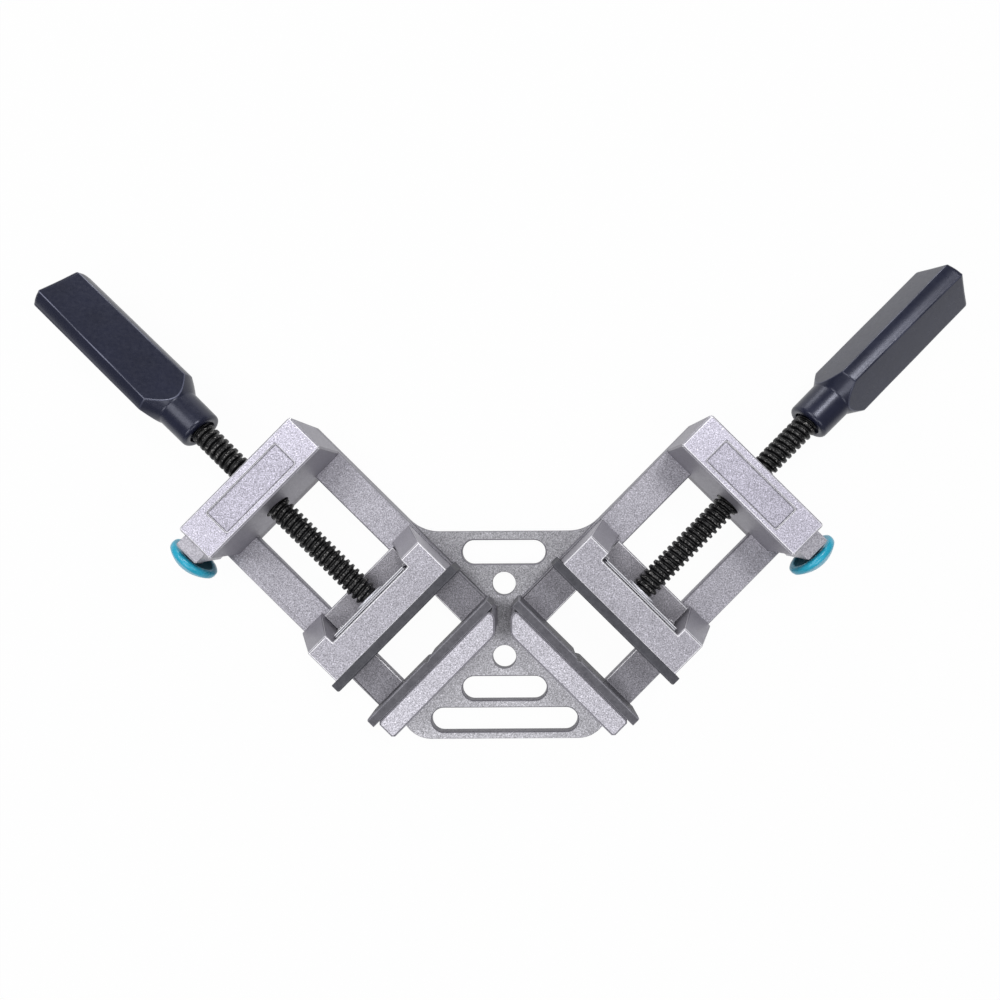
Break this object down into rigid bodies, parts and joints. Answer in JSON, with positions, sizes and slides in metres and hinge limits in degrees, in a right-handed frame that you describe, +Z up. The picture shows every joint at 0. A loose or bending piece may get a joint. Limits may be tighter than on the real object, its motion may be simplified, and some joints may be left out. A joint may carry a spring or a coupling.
{
  "type": "corner clamp",
  "caption": "Right-angle corner clamp: cast frame with fixed jaws, sliding jaws on rails, screw spindles with plastic handles, quick-release buttons.",
  "frame": {"origin": "centre of the rear round bench hole, on the bench plane", "axes": "+X to the right, +Y to the rear between the two arms, +Z up; the arms leave at 45 degrees to the rear left and rear right"},
  "size_m": [0.4176, 0.2188, 0.04],
  "materials": {
    "cast_aluminium": "silver-grey casting with a fine bright speckle",
    "pad": "dark charcoal, matt",
    "zinc_steel": "bright zinc plated",
    "black_steel": "black, slightly glossy",
    "handle_plastic": "satin dark navy-grey",
    "cast_zinc": "light grey casting",
    "button_plastic": "glossy turquoise",
    "spring_steel": "bare wire"
  },
  "bodies": {
    "frame": {"frame_casting": "cast_aluminium", "left_fixed_jaw_pad": "pad", "right_fixed_jaw_pad": "pad"},
    "left_jaw": {"left_moving_jaw": "cast_aluminium", "left_moving_jaw_pad": "pad", "left_retaining_plate": "zinc_steel", "left_keeper_plate": "zinc_steel"},
    "left_spindle": {"left_clamp_screw": "black_steel", "left_handle": "handle_plastic", "left_thrust_washer": "zinc_steel"},
    "left_release": {"left_half_nut": "cast_zinc", "left_release_button": "button_plastic", "left_release_spring": "spring_steel"},
    "right_jaw": {"right_moving_jaw": "cast_aluminium", "right_moving_jaw_pad": "pad", "right_retaining_plate": "zinc_steel", "right_keeper_plate": "zinc_steel"},
    "right_spindle": {"right_clamp_screw": "black_steel", "right_handle": "handle_plastic", "right_thrust_washer": "zinc_steel"},
    "right_release": {"right_half_nut": "cast_zinc", "right_release_button": "button_plastic", "right_release_spring": "spring_steel"}
  },
  "joints": [
    {"name": "left_jaw_slide", "type": "slide", "parent": "frame", "child": "left_jaw", "axis": [-0.7071, 0.7071, 0], "range_m": [-0.0173, 0.0445]},
    {"name": "left_spindle_turn", "type": "hinge", "parent": "left_jaw", "child": "left_spindle", "pos_m": [-0.03253, -0.03253, 0.0205], "axis": [-0.7071, 0.7071, 0], "range_deg": [-2080, 5350]},
    {"name": "left_release_press", "type": "slide", "parent": "frame", "child": "left_release", "axis": [0.7071, 0.7071, 0], "range_m": [0, 0.0035], "stiffness_N_per_m": 600, "springref_m": -0.006, "deforming": ["left_release_spring"]},
    {"name": "right_jaw_slide", "type": "slide", "parent": "frame", "child": "right_jaw", "axis": [0.7071, 0.7071, 0], "range_m": [-0.02045, 0.04135]},
    {"name": "right_spindle_turn", "type": "hinge", "parent": "right_jaw", "child": "right_spindle", "pos_m": [0.03253, -0.03253, 0.0205], "axis": [0.7071, 0.7071, 0], "range_deg": [-2460, 4970]},
    {"name": "right_release_press", "type": "slide", "parent": "frame", "child": "right_release", "axis": [-0.7071, 0.7071, 0], "range_m": [0, 0.0035], "stiffness_N_per_m": 600, "springref_m": -0.006, "deforming": ["right_release_spring"]}
  ],
  "couplings": [
    {"joint": "left_spindle_turn", "follows": "left_jaw_slide", "rad_per_m": 2094.4},
    {"joint": "right_spindle_turn", "follows": "right_jaw_slide", "rad_per_m": 2094.4}
  ]
}
